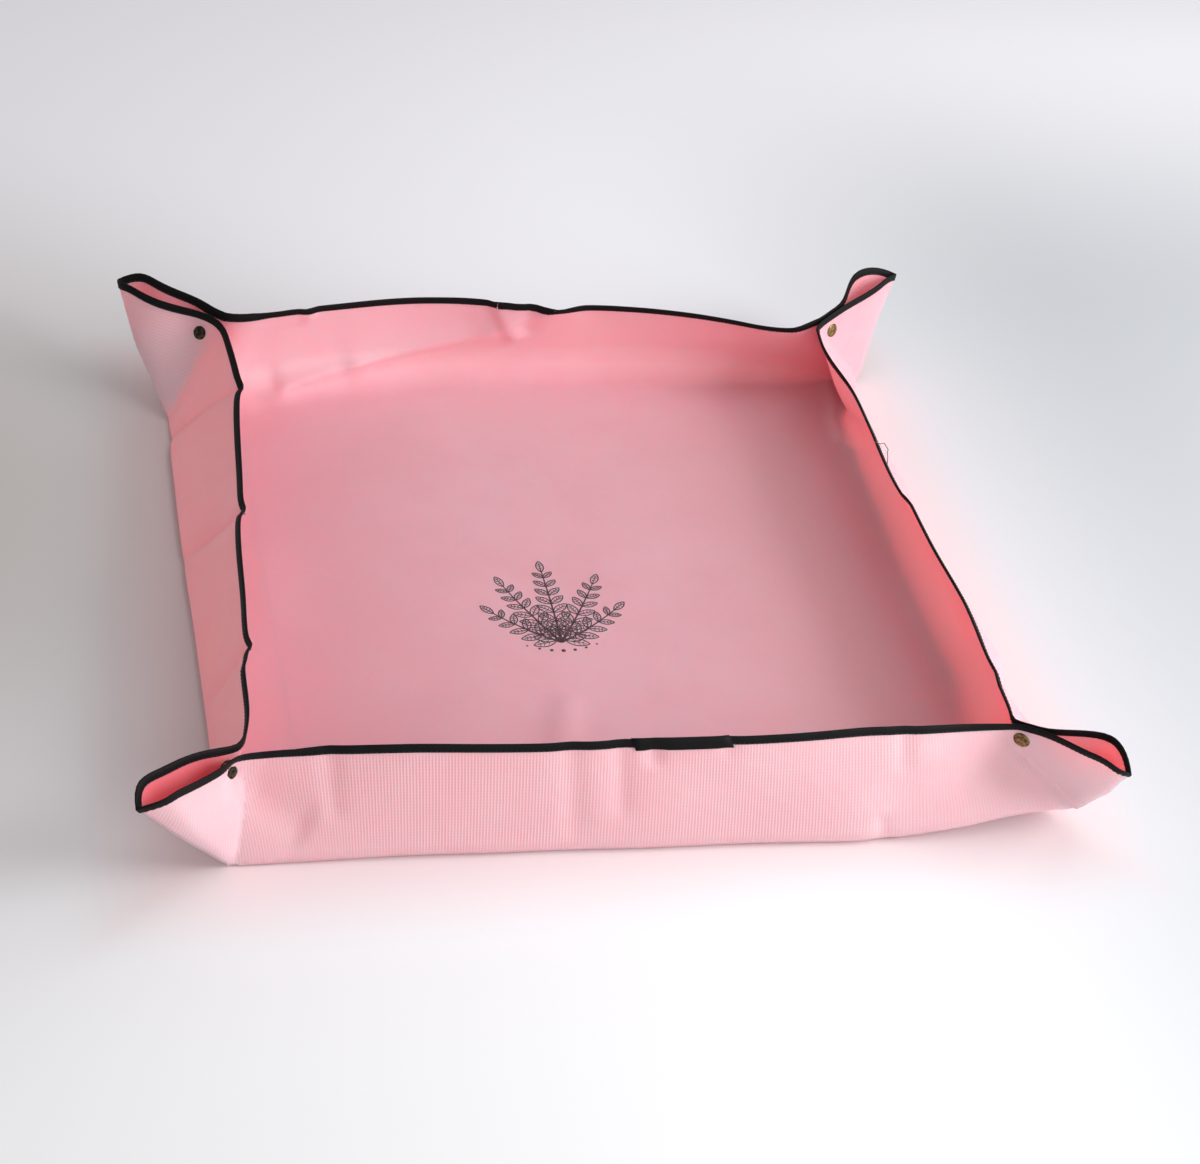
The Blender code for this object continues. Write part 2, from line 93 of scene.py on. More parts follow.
# Folded tape and its join, the stitches, the printed sprig on the floor and the cloth's ribs
TAPE_WIDTH = 0.0061
TAPE_STAND = 0.0006
TAPE_CELL = 0.006
JOIN_STAND = 0.0006
JOIN_START = -0.008
JOIN_STEPS = 12
JOIN_STEP = 0.0058
STITCH_INSET = 0.0043
STITCH_PITCH = 0.0036
STITCH_LENGTH = 0.0025
THREAD = 0.00045
LOOSE_RADIUS = 0.0004
PRINT_MIDDLE = (-0.017, -0.035)
RIB_PITCH = 0.0022

# The snaps' turned faces: radius, and height over the cloth, in millimetres
CAP_PROFILE = (
    (0, 0.95), (2.2, 0.98), (2.9, 1.12), (3.4, 1.2), (4.4, 1.12), (5.4, 0.8), (6.0, 0.4), (6.2, 0.1), (6.1, -0.2),
    (5.6, -0.3), (0, -0.3),
)
RING_PROFILE = (
    (0, 0.7), (1.9, 0.7), (1.95, 1.3), (2.4, 1.7), (3.1, 1.8), (4.8, 1.55), (5.7, 1.1), (6.2, 0.5), (6.0, -0.4),
    (0, -0.4),
)
RING_HOLE = 1.94

WALLS = ("front", "right", "back", "left")
STARTS = {"front": "front_left", "right": "front_right", "back": "back_right", "left": "back_left"}
ENDS = {"front": "front_right", "right": "back_right", "back": "back_left", "left": "front_left"}
RING_PIECES = [f"{wall}_wall" for wall in WALLS]
RING_PIECES += [f"{corner}_ear_{wall}" for wall in WALLS for corner in (STARTS[wall], ENDS[wall])]

# Along each wall, from its first corner at -1 to its last at 1, in millimetres: how far the rim stands
# outside the line between its pinched corners, and how wide a strip of cloth the base crease bends over
RIM_BOWS = {
    "front": ((-1, 0), (-0.84, 2), (-0.6, 12), (-0.2, 17.5), (0.2, 17.5), (0.5, 16), (0.7, 10), (0.86, 2.5), (1, 0)),
    "right": (
        (-1, 0), (-0.88, 4), (-0.8, 9), (-0.55, 6), (-0.2, 2), (-0.04, 2), (0.04, -2), (0.4, -4), (0.8, 0.5), (1, 0),
    ),
    "back": (
        (-1, 0), (-0.93, -4), (-0.84, -2), (-0.68, 6), (-0.3, 22), (0, 27), (0.12, 35), (0.3, 35), (0.65, 24),
        (0.83, 13), (0.92, 5), (1, 0),
    ),
    "left": (
        (-1, 0), (-0.93, -4), (-0.68, -16), (-0.53, -16), (-0.07, -11.5), (0, -8.5), (0.45, -7), (0.66, -4.5),
        (0.7, -2.5), (0.85, -4), (1, 0),
    ),
}
BASE_BENDS = {
    "front": ((-1, 1.5), (-0.85, 6), (0, 8), (0.7, 10), (1, 1.5)),
    "right": ((-1, 1.5), (-0.9, 58), (-0.72, 80), (-0.48, 56), (-0.3, 52), (0.25, 50), (0.6, 36), (0.85, 12), (1, 1.5)),
    "back": ((-1, 1.5), (-0.8, 36), (0, 46), (0.8, 50), (1, 1.5)),
    "left": ((-1, 1.5), (-0.85, 8), (0, 10), (0.85, 8), (1, 1.5)),
}

# Each ear half, by its wall and that wall's end, in millimetres: how wide its fold is at the rim, how far
# it bulges into the loop, and where the loop begins to open, as a share of the way from the fold to the tip
EAR_SHAPES = {
    "front": ((50, 13, -0.5), (32, 7, 0.28)),
    "right": ((8, 18, 0.28), (6, 4, 0.30)),
    "back": ((24, 20, 0.28), (50, 13, -0.4)),
    "left": ((16, 10, -0.1), (22, 13, -0.2)),
}

# Where the cloth has settled away from its even form: flat places and moves, in millimetres. The snaps
# and the middles stay where they are.
CORNER_MOVES = (
    ((-200, -294), (5, -8, 0)),
    ((-100, -294), (0, -9, 0)),
    ((0, -294), (0, -11, 0)),
    ((100, -294), (0, -13, 0)),
    ((165, -294), (3, -15, 0)),
    ((230, -294), (14, -11, 6)),
    ((294, -294), (29, -4, 12)),
    ((263, -375), (4, -5, -3)),
    ((375, -263), (4, -5, -3)),
    ((364, -364), (-3, 0, -2)),
    ((330, -330), (15, -3, 4)),
    ((330, -215), (-11, 2, 0)),
    ((330, -165), (2, 1, 0)),
    ((323, 240), (-9, 0, 0)),
    ((294, 294), (21, -6, 0)),
    ((375, 263), (-6, 1, -2)),
    ((263, 375), (-6, 1, -2)),
    ((364, 364), (13, -1, 6)),
    ((330, 330), (15, -4, 3)),
    ((-294, 294), (-13, -54, 0)),
    ((-263, 375), (5, 2, 3)),
    ((-375, 263), (5, 2, 3)),
    ((-364, 364), (-10, -1, -1)),
    ((-330, 330), (-16, -26, 0)),
    ((-294, 200), (-12, -20, 0)),
    ((-294, 110), (-9, -4, 0)),
    ((-294, 20), (-4, 0, 0)),
    ((-294, -60), (1, 0, 0)),
    ((-294, -150), (7, -4, 0)),
    ((-294, -294), (15, -8, 0)),
    ((-375, -263), (-1, -2, -3)),
    ((-263, -375), (-1, -2, -3)),
    ((-364, -364), (-1, 3, 3)),
    ((-330, -330), (6, -3, 1)),
)
STILL_PLACES = (
    [(x, y) for x in (-150, 0, 150) for y in (-150, 0, 150)]
    + [(side * 278.4, end * 359.5) for side in (-1, 1) for end in (-1, 1)]
    + [(side * 359.5, end * 278.4) for side in (-1, 1) for end in (-1, 1)]
    + [(x, side * 375) for x in (-160, 0, 160) for side in (-1, 1)]
    + [(side * 375, y) for y in (-160, 0, 160) for side in (-1, 1)]
    + [(-100, 294), (100, 294)]
    + [(294, y) for y in (-100, 100)]
)

# Folds and dents: flat start and end, half width and rise toward the inside, in millimetres; a crisp one
# has a crest, and the others are rounded
WRINKLES = (
    # back left: a pinched crease from the left rim, and the long ridge that runs from it
    ((-262, 312), (-214, 297), 7, 4.0, True),
    ((-218, 297), (-135, 314), 11, 9.0, True),
    ((-147, 311), (-20, 345), 16, 11.0, True),
    ((-34, 341), (46, 384), 14, 7.0, True),
    ((-213, 296), (-217, 320), 5, -2.5, True),
    # the back rim's kink and a small one beside it
    ((-28, 388), (-1, 332), 9, 5.5, True),
    ((10, 386), (4, 342), 9, -3.0, False),
    ((-196, 390), (-186, 360), 6, 2.5, False),
    # a faint line where the sheet was once folded
    ((-215, 252), (-40, 271), 4, 0.6, True),
    ((-45, 271), (63, 276), 4, 0.7, True),
    ((55, 276), (250, 304), 4, 1.0, True),
    # the right wall's star
    ((270, 296), (281, 180), 8, 5.5, True),
    ((280, 184), (318, 150), 7, -3.0, True),
    ((286, 182), (224, 180), 9, -2.4, True),
    ((280, 186), (256, 56), 10, -4.0, True),
    ((276, 182), (286, 182), 8, -3.0, False),
    # the left wall's creases, which notch its rim
    ((-392, 172), (-296, 242), 6, 5.6, True),
    ((-395, 2), (-298, 36), 6, 5.6, True),
    ((-395, -162), (-308, -143), 6, 4.6, True),
    # under the back left ring
    ((-345, 277), (-305, 287), 7, 1.4, False),
    # the front wall: dents under both snaps, upright folds and a pucker under the tape
    ((-270, -345), (-232, -318), 18, 3.5, False),
    ((-211, -386), (-212, -324), 7, 1.8, False),
    ((-51, -388), (-45, -308), 9, 1.8, False),
    ((-15, -384), (-13, -320), 8, 3.0, True),
    ((8, -376), (9, -356), 6, 2.6, False),
    ((62, -382), (60, -360), 5, 1.4, False),
    ((185, -382), (184, -343), 6, 1.6, False),
    ((171, -314), (173, -294), 6, 3.0, True),
    ((262, -340), (165, -316), 16, 2.4, False),
    # the floor's slow swells
    ((-21, -140), (-37, -200), 12, 2.0, False),
    ((60, -190), (90, -250), 16, 1.8, False),
    ((-230, -60), (-245, 60), 26, 1.6, False),
)


def soft_step(share):
    share = np.clip(share, 0, 1)
    return share * share * (3 - 2 * share)


def curve(table, place):
    """A smooth line through the table's points, flat-topped at each turn so that it never overshoots."""
    points = np.array(table, float)
    x, y = points[:, 0], points[:, 1]
    steps = np.diff(y) / np.diff(x)
    slopes = np.concatenate([[steps[0]], (steps[1:] + steps[:-1]) / 2, [steps[-1]]])
    turning = np.concatenate([[False], steps[1:] * steps[:-1] <= 0, [False]])
    slopes[turning] = 0
    cell = np.clip(np.searchsorted(x, place, side="right") - 1, 0, len(x) - 2)
    run = x[cell + 1] - x[cell]
    part = np.clip((place - x[cell]) / run, 0, 1)
    return (
        y[cell] * (1 - part) ** 2 * (1 + 2 * part)
        + y[cell + 1] * part**2 * (3 - 2 * part)
        + run * part * (1 - part) * (slopes[cell] * (1 - part) - slopes[cell + 1] * part)
    )


def roll(distance, start, width, turn):
    """Places past a crease that bends from start over a width: along, up and the angle there."""
    angle = turn * np.clip((distance - start) / width, 0, 1)
    radius = width / np.maximum(turn, 1e-6)
    past = np.maximum(distance - start - width, 0)
    along = np.where(distance < start, distance, start + radius * np.sin(angle) + past * np.cos(turn))
    up = radius * (1 - np.cos(angle)) + past * np.sin(turn)
    return along, up, angle


def bend_for_rim(width, rim_out, rim_up):
    """Where a base bend of this width starts and how far it turns, for the rim to come where it should."""
    turn = np.arctan2(rim_up, rim_out)
    start = -width / 2
    for _ in range(7):
        rest = WALL_RUN - start - width
        sine, cosine = np.sin(turn), np.cos(turn)
        miss_out = start + width / turn * sine + rest * cosine - rim_out
        miss_up = width / turn * (1 - cosine) + rest * sine - rim_up
        out_by_turn = width * (turn * cosine - sine) / turn**2 - rest * sine
        up_by_turn = width * (turn * sine - 1 + cosine) / turn**2 + rest * cosine
        fixed = (1 - cosine) * up_by_turn + sine * out_by_turn
        start = start - (miss_out * up_by_turn - miss_up * out_by_turn) / fixed
        turn = turn - ((1 - cosine) * miss_up + sine * miss_out) / fixed
    return start, turn


def wall_length(out):
    return FOOT_ALONG + (PINCH_ALONG - FOOT_ALONG) * np.clip(out / WALL_RUN, 0, 1)


def lift_wall(wall, along, out):
    """One wall's part of the sheet: its ears turn about their folds, then it turns up with its rim's bow."""
    side = np.where(along < 0, -1.0, 1.0)
    near = np.abs(along)
    share = np.clip(near / wall_length(out), 0, 1)
    rising = soft_step((out + 0.001) / 0.009)

    # the ear turns away from the tray about its fold, and bulges into an open loop at the rim
    fold = (near - FOOT_ALONG) * EAR_FOLD[0] + out * EAR_FOLD[1]
    past = (near - FOOT_ALONG) * ACROSS_FOLD[0] + out * ACROSS_FOLD[1]
    shapes = np.array(EAR_SHAPES[wall])
    rim_crease, bow, opens = np.where(side[:, None] < 0, shapes[0], shapes[1]).T
    crease = TIGHT_CREASE + EAR_CREASE_GROWTH * np.maximum(fold, 0)
    crease = crease + rim_crease / 1000 * np.clip(fold / EAR_FOLD_LENGTH, 0, 1.1) ** 6
    turn = EAR_TURN * rising
    across, drop, _ = roll(past, -crease / 2, crease, turn)
    reach = np.arctan2(np.maximum(past, 0), np.maximum(fold, 1e-6)) / EAR_ANGLE
    opening = np.clip((reach - opens) / (1 - opens), 0, 1)
    arch = soft_step(opening / 0.62) * (1 - 0.25 * soft_step((opening - 0.6) / 0.4))
    arch = arch * soft_step(past / crease + 0.5)
    pinned = 1 - np.exp(-((past - SNAP_PAST) ** 2 + (fold - SNAP_UP) ** 2) / SNAP_HOLD**2)
    bulge = bow / 1000 * arch * pinned * np.clip(np.hypot(past, fold) / EAR_REACH, 0, 1.2) ** 1.2 * rising
    across = across - bulge * np.sin(turn)
    drop = -drop - bulge * np.cos(turn)
    bent = past > -crease / 2
    new_near = np.where(bent, FOOT_ALONG + fold * EAR_FOLD[0] + across * ACROSS_FOLD[0], near)
    new_out = np.where(bent, fold * EAR_FOLD[1] + across * ACROSS_FOLD[1], out)
    off = np.where(bent, drop, 0)

    # the wall turns up about its crease, wide and soft in the middle and tight at the corners
    place = share * side
    lean = WALL_TURN - np.arcsin(curve(RIM_BOWS[wall], place) / 1000 / WALL_RUN)
    width = curve(BASE_BENDS[wall], place) / 1000
    start, lean = bend_for_rim(width, WALL_RUN * np.cos(lean), WALL_RUN * np.sin(lean))
    outward, up, lean = roll(new_out, start, width, lean)
    outward = outward + SHEET_THICKNESS / 2 * np.sin(lean) - off * np.sin(lean)
    up = up + SHEET_THICKNESS / 2 * (1 - np.cos(lean)) + off * np.cos(lean)

    # the two halves of an ear close on each other round the sheet's diagonal
    apart = (FOLD_LINE + outward - new_near) / math.sqrt(2)
    strip = np.maximum(FOLD_LINE + out - near, 0) / math.sqrt(2)
    close = np.sin(np.clip(strip / (1.57 * np.maximum(apart, EAR_OFFSET)), 0, 1) * math.pi / 2)
    shut = apart * (1 - close) * rising * bent / math.sqrt(2)
    return side * (new_near + shut), FOLD_LINE + outward - shut, SHEET_THICKNESS / 2 + up


def fold_even(flat):
    """The middle surface of the folded sheet over flat places (x, y), before it settles."""
    folded = np.zeros((len(flat), 3))
    outs = np.stack([-flat[:, 1], flat[:, 0], flat[:, 1], -flat[:, 0]])
    alongs = np.stack([flat[:, 0], flat[:, 1], -flat[:, 0], -flat[:, 1]])
    nearest = np.argmax(outs, axis=0)
    for index, wall in enumerate(WALLS):
        mine = nearest == index
        along, outward, up = lift_wall(wall, alongs[index, mine], outs[index, mine] - FOLD_LINE)
        turn = math.radians(90) * index
        folded[mine, 0] = along * math.cos(turn) + outward * math.sin(turn)
        folded[mine, 1] = along * math.sin(turn) - outward * math.cos(turn)
        folded[mine, 2] = up
    return folded


def bulge_kernel(distance):
    return distance**2 * np.log(np.maximum(distance, 1e-9))


def settle_weights():
    """Weights of a smooth field that takes each settled place by its own move and leaves the still ones."""
    places = np.array([place for place, _ in CORNER_MOVES] + list(STILL_PLACES)) / 1000
    moves = np.zeros((len(places), 3))
    moves[: len(CORNER_MOVES)] = np.array([move for _, move in CORNER_MOVES]) / 1000
    apart = np.linalg.norm(places[:, None] - places[None], axis=2)
    plane = np.column_stack([np.ones(len(places)), places])
    system = np.block([[bulge_kernel(apart), plane], [plane.T, np.zeros((3, 3))]])
    return places, np.linalg.solve(system, np.vstack([moves, np.zeros((3, 3))]))


def settle(flat, field):
    """How far flat places have settled. The two halves of an ear move together, as their mean does."""
    places, weights = field

    def move(at):
        apart = np.linalg.norm(at[:, None] - places[None], axis=2)
        return np.column_stack([bulge_kernel(apart), np.ones(len(at)), at]) @ weights

    mirror = np.sign(flat[:, :1] * flat[:, 1:2]) * flat[:, ::-1]
    near, far = np.sort(np.abs(flat), axis=1).T
    past = (near - FOOT_ALONG) * ACROSS_FOLD[0] + (far - FOLD_LINE) * ACROSS_FOLD[1]
    shared = soft_step(1 + np.minimum(past, 0) / SHARED_RUN)[:, None]
    own = move(flat)
    return own + shared * (move(mirror) - own) / 2


def wrinkle_height(flat):
    height = np.zeros(len(flat))
    for start, end, half_width, rise, sharp in WRINKLES:
        start, end = np.array(start) / 1000, np.array(end) / 1000
        run = end - start
        length = np.linalg.norm(run)
        along = (flat - start) @ run / length**2
        off = np.abs((flat - start) @ np.array((-run[1], run[0])) / length)
        beyond = np.maximum(np.maximum(-along, along - 1), 0) * length
        off = np.hypot(off, beyond) / (half_width / 1000)
        crest = np.exp(-off) if sharp else np.exp(-(off**2))
        fade = np.clip(np.minimum(along, 1 - along) * 4 + 0.35, 0, 1)
        height += rise / 1000 * crest * soft_step(fade)
    # slow swells a few centimetres across, never below the flat cloth
    x, y = flat.T * 1000
    swell = np.sin(x / 37 + 1.2 * np.sin(y / 61)) * np.sin(y / 43 + 1.1 * np.sin(x / 53 + 2)) + np.sin(x / 23 - y / 29)
    return height + 0.00025 * (2 + swell)


def fold_middle(flat):
    """The middle surface of the folded sheet over flat places (x, y), as it has settled."""
    folded = fold_even(flat) + settle(flat, SETTLED_FIELD)
    folded[:, 2] = np.maximum(folded[:, 2], SHEET_THICKNESS / 2)
    return folded


def fold_places(places):
    """Flat places (x, y, height off the middle surface) moved to the folded sheet."""
    flat = places[:, :2]
    step = 0.0004
    slope_x = fold_middle(flat + (step, 0)) - fold_middle(flat - (step, 0))
    slope_y = fold_middle(flat + (0, step)) - fold_middle(flat - (0, step))
    normal = np.cross(slope_x, slope_y)
    normal /= np.linalg.norm(normal, axis=1)[:, None]
    folded = fold_middle(flat) + normal * (places[:, 2] + wrinkle_height(flat))[:, None]
    folded[:, 2] = np.maximum(folded[:, 2], SHEET_THICKNESS / 2 + np.minimum(places[:, 2], 0))
    return folded


SETTLED_FIELD = settle_weights()


def fold_mesh(mesh):
    places = np.empty(len(mesh.vertices) * 3)
    mesh.vertices.foreach_get("co", places)
    folded = fold_places(places.reshape(-1, 3))
    mesh.vertices.foreach_set("co", folded.ravel())
    mesh.update()


# Materials


def colour(code):
    """An sRGB hex colour as the linear one that shaders take."""
    parts = [int(code[start : start + 2], 16) / 255 for start in (1, 3, 5)]
    linear = [part / 12.92 if part <= 0.04045 else ((part + 0.055) / 1.055) ** 2.4 for part in parts]
    return (*linear, 1)


def node(tree, kind, settings=None, links=None):
    """Adds a shader node: settings go to its properties or sockets, and links name each socket's source."""
    made = tree.nodes.new(kind)
    for name, value in (settings or {}).items():
        if isinstance(name, str) and hasattr(made, name):
            setattr(made, name, value)
        else:
            made.inputs[name].default_value = value
    for name, source in (links or {}).items():
        tree.links.new(source, made.inputs[name])
    return made


def new_material(name):
    made = bpy.data.materials.new(name)
    made.use_nodes = True
    return made, made.node_tree, made.node_tree.nodes["Principled BSDF"]


def coated_cloth(name, face, deep, weave_depth, roughness, sheen, through, shaded):
    """Thin polyester canvas with a polyurethane coat: light comes through it, mostly the red.

    Its ribs are 0.9 mm apart in the real cloth, and 2.2 mm here so that they show. Each painted tone has a
    band across and one along the sheet, in metres: where it starts, is full, fades and has gone. All are painted
    light and shade: where most of the light has come through cloth, the tone stands in for the light's own red;
    elsewhere it stands in for shade, or for paler light where more of it falls.
    """
    made, tree, shader = new_material(name)
    place = node(tree, "ShaderNodeTexCoord").outputs["UV"]
    sized = node(tree, "ShaderNodeMapping", {"Scale": (SHEET_SIDE, SHEET_SIDE, 1)}, {"Vector": place}).outputs[0]
    pitch = 2 * math.pi / RIB_PITCH / 20
    ribs = {"Scale": pitch, "Distortion": 0.6, "Detail Scale": 2.0}
    warp = node(tree, "ShaderNodeTexWave", {"bands_direction": "X", **ribs}, {"Vector": sized}).outputs["Fac"]
    weft = node(tree, "ShaderNodeTexWave", {"bands_direction": "Y", **ribs}, {"Vector": sized}).outputs["Fac"]
    weft = node(tree, "ShaderNodeMapRange", {1: 0.0, 2: 1.0, 3: 0.6, 4: 1.0}, {0: weft}).outputs[0]
    weave = node(tree, "ShaderNodeMath", {"operation": "MULTIPLY"}, {0: warp, 1: weft}).outputs[0]
    bump = node(tree, "ShaderNodeBump", {"Strength": weave_depth, "Distance": 0.0002}, {"Height": weave}).outputs[0]
    spots = {"Scale": 14.0, "Detail": 3.0, "Roughness": 0.55}
    mottle = node(tree, "ShaderNodeTexNoise", spots, {"Vector": sized}).outputs["Fac"]
    mottle = node(tree, "ShaderNodeMapRange", {1: 0.35, 2: 0.75, 3: 0.0, 4: 1.0}, {0: mottle}).outputs[0]
    tones = {"data_type": "RGBA", 6: colour(face), 7: colour(deep)}
    tone = node(tree, "ShaderNodeMix", tones, {0: mottle}).outputs[2]
    # Painted shade: the weave's low places are drawn in a darker pink, as shade in its grooves
    groove_shade = node(tree, "ShaderNodeMapRange", {1: 0.0, 2: 0.5, 3: 0.13 * weave_depth, 4: 0.0}, {0: weave}).outputs[0]
    tone = node(tree, "ShaderNodeMix", {"data_type": "RGBA", 7: colour("#c9747f")}, {0: groove_shade, 6: tone}).outputs[2]
    sides = node(tree, "ShaderNodeSeparateXYZ", links={0: sized}).outputs

    def band(source, start, full, fading, gone, under):
        rise = {"interpolation_type": "SMOOTHSTEP", 1: start, 2: full, 3: 0.0, 4: 1.0}
        rise = node(tree, "ShaderNodeMapRange", rise, {0: source, 4: under} if under else {0: source}).outputs[0]
        fall = {"interpolation_type": "SMOOTHSTEP", 1: fading, 2: gone, 4: 0.0}
        return node(tree, "ShaderNodeMapRange", fall, {0: source, 3: rise}).outputs[0]

    # Painted light and shade: each tone is mixed into the cloth's colour where its two bands meet
    for shade, across, along in shaded:
        mask = band(sides["Y"], *along, band(sides["X"], *across, None))
        tone = node(tree, "ShaderNodeMix", {"data_type": "RGBA", 7: colour(shade)}, {0: mask, 6: tone}).outputs[2]
    tree.links.new(tone, shader.inputs["Base Color"])
    tree.links.new(bump, shader.inputs["Normal"])
    shader.inputs["Roughness"].default_value = roughness
    shader.inputs["IOR"].default_value = 1.48
    shader.inputs["Subsurface Weight"].default_value = through
    shader.inputs["Subsurface Radius"].default_value = (1.0, 0.12, 0.13)
    shader.inputs["Subsurface Scale"].default_value = 0.004
    shader.inputs["Sheen Weight"].default_value = sheen
    shader.inputs["Sheen Roughness"].default_value = 0.6
    return made


def polyester_tape():
    """Woven polyester binding: a fine grain, and a dull black dye that has faded a little in places."""
    made, tree, shader = new_material("polyester_tape")
    place = node(tree, "ShaderNodeTexCoord").outputs["Object"]
    grain = node(tree, "ShaderNodeTexNoise", {"Scale": 900.0, "Detail": 2.0}, {"Vector": place}).outputs["Fac"]
    faded = node(tree, "ShaderNodeTexNoise", {"Scale": 45.0, "Detail": 3.0}, {"Vector": place}).outputs["Fac"]
    tone = node(
        tree, "ShaderNodeMix", {"data_type": "RGBA", 6: colour("#0b0b0c"), 7: colour("#121213")}, {0: faded}
    ).outputs[2]
    tree.links.new(tone, shader.inputs["Base Color"])
    bump = node(tree, "ShaderNodeBump", {"Strength": 0.35, "Distance": 0.0003}, {"Height": grain}).outputs[0]
    tree.links.new(bump, shader.inputs["Normal"])
    shader.inputs["Roughness"].default_value = 0.6
    shader.inputs["Specular IOR Level"].default_value = 0.12
    return made


def mottled(name, dark, pale, size, rough, metallic=0.0):
    """Two tones of one material in soft spots of a size in metres, smoother where it is paler."""
    made, tree, shader = new_material(name)
    place = node(tree, "ShaderNodeTexCoord").outputs["Object"]
    stain = node(tree, "ShaderNodeTexNoise", {"Scale": 1 / size, "Detail": 4.0}, {"Vector": place}).outputs["Fac"]
    stain = node(tree, "ShaderNodeMapRange", {1: 0.35, 2: 0.65, 3: 0.0, 4: 1.0}, {0: stain}).outputs[0]
    tone = node(tree, "ShaderNodeMix", {"data_type": "RGBA", 6: colour(dark), 7: colour(pale)}, {0: stain}).outputs[2]
    worn = node(tree, "ShaderNodeMapRange", {1: 0.0, 2: 1.0, 3: rough + 0.1, 4: rough - 0.1}, {0: stain}).outputs[0]
    tree.links.new(tone, shader.inputs["Base Color"])
    tree.links.new(worn, shader.inputs["Roughness"])
    shader.inputs["Metallic"].default_value = metallic
    return made


ALL_OF_IT = (-0.2, -0.1, 0.9, 1.0)
FIRST_END = (-0.2, -0.1, 0.08, 0.12)
RIGHT_WALL = (0.63, 0.68, 0.80, 0.90)
# Painted shade: the right wall's outside is nearest the window, and its tone is drawn a deeper pink there
OUTSIDE_PAINTED_LIGHT = [("#dfa0aa", RIGHT_WALL, (0.10, 0.14, 0.80, 0.90))]
# Painted light and shade inside: redder on the floor beside the right wall, for light through that wall and its shade;
# deeper pink on the floor beside the left one, as shade; paler on the back wall and the right wall, as light; deep red
# in the front left ear's loop, as shade; paler in the front right one, as light
INSIDE_PAINTED_LIGHT = [
    ("#fca3ac", (0.44, 0.60, 0.62, 0.67), ALL_OF_IT),
    ("#e898a4", (0.06, 0.09, 0.12, 0.34), ALL_OF_IT),
    ("#ecb6bf", (0.10, 0.14, 0.61, 0.66), (0.66, 0.70, 0.80, 0.90)),
    ("#ffd0d5", RIGHT_WALL, (0.10, 0.14, 0.61, 0.65)),
    ("#ee7681", FIRST_END, FIRST_END),
    ("#f8b4bb", RIGHT_WALL, FIRST_END),
]
OUTSIDE = coated_cloth("canvas_outside", "#edbcc3", "#eab4bc", 0.6, 0.62, 0.05, 0.65, OUTSIDE_PAINTED_LIGHT)
INSIDE = coated_cloth("coated_inside", "#f6a7b2", "#f2a0ab", 0.08, 0.45, 0.05, 0.8, INSIDE_PAINTED_LIGHT)
TAPE = polyester_tape()
# Brass darkened in a bath and tumbled: brown in its hollows, bright where it was rubbed. The rings are darker.
BRASS = mottled("antique_brass", "#4a3822", "#9c8057", 0.0024, 0.38, 1.0)
RING_BRASS = mottled("blackened_brass", "#2a241e", "#5c4c36", 0.0024, 0.42, 1.0)
# Painted shade: a ring's hole is a flat disc in near-black, standing in for the shade inside the hole
HOLE_SHADE = mottled("ring_hole_shade", "#0b0a09", "#1c1713", 0.0024, 0.8)
SPRING = mottled("spring_steel", "#9b9892", "#bdbab4", 0.001, 0.3, 1.0)
BLACK_THREAD = mottled("polyester_thread", "#161618", "#2b2b2e", 0.0006, 0.45)
PALE_THREAD = mottled("loose_thread", "#5f5046", "#93826f", 0.0006, 0.5)
INK = mottled("screen_ink", "#3f2b30", "#54393f", 0.006, 0.55)


# The sheet


def quarter_turns(count):
    return Matrix.Rotation(math.radians(90) * count, 3, "Z")


def cut_flat(bm, point, normal, drop=False, near=None):
    faces = [face for face in bm.faces if near is None or near(face.calc_center_median())]
    edges = {edge for face in faces for edge in face.edges}
    verts = {vert for face in faces for vert in face.verts}
    bmesh.ops.bisect_plane(
        bm,
        geom=[*verts, *edges, *faces],
        dist=1e-6,
        plane_co=(*point, 0),
        plane_no=(*normal, 0),
        clear_outer=drop,
    )


def flat_sheet():
    """The sheet as it was cut, in small cells, with an edge along every crease that divides two pieces."""
    bm = bmesh.new()
    cells = round(SHEET_SIDE / CLOTH_CELL)
    bmesh.ops.create_grid(bm, x_segments=cells, y_segments=cells, size=SHEET_HALF)
    for index in range(4):
        turn = Matrix.Rotation(math.radians(90) * index, 2)
        corner = turn @ Vector((1, -1))

        def in_corner(middle, corner=corner):
            return middle.x * corner.x > EARS_FROM and middle.y * corner.y > EARS_FROM

        cut_flat(bm, (0, 0), turn @ Vector((1, 1)), near=in_corner)
        for mirror in (1, -1):
            for offset in (-0.5 * EAR_CREASE, 0, 0.5 * EAR_CREASE):
                foot = Vector((FOOT_ALONG, -FOLD_LINE)) + Vector((ACROSS_FOLD[0], -ACROSS_FOLD[1])) * offset
                normal = Vector((ACROSS_FOLD[0], -ACROSS_FOLD[1]))
                if mirror < 0:
                    foot, normal = Vector((-foot.y, -foot.x)), Vector((-normal.y, -normal.x))
                cut_flat(bm, turn @ foot, turn @ normal, near=in_corner)
        centre = Vector((SHEET_HALF - CORNER_RADIUS, CORNER_RADIUS - SHEET_HALF))
        steps = 12
        for step in range(steps + 1):
            angle = math.radians(-90) * step / steps
            way = Vector((math.cos(angle), math.sin(angle)))
            cut_flat(bm, turn @ (centre + way * CORNER_RADIUS), turn @ way, drop=True, near=in_corner)
    return bm


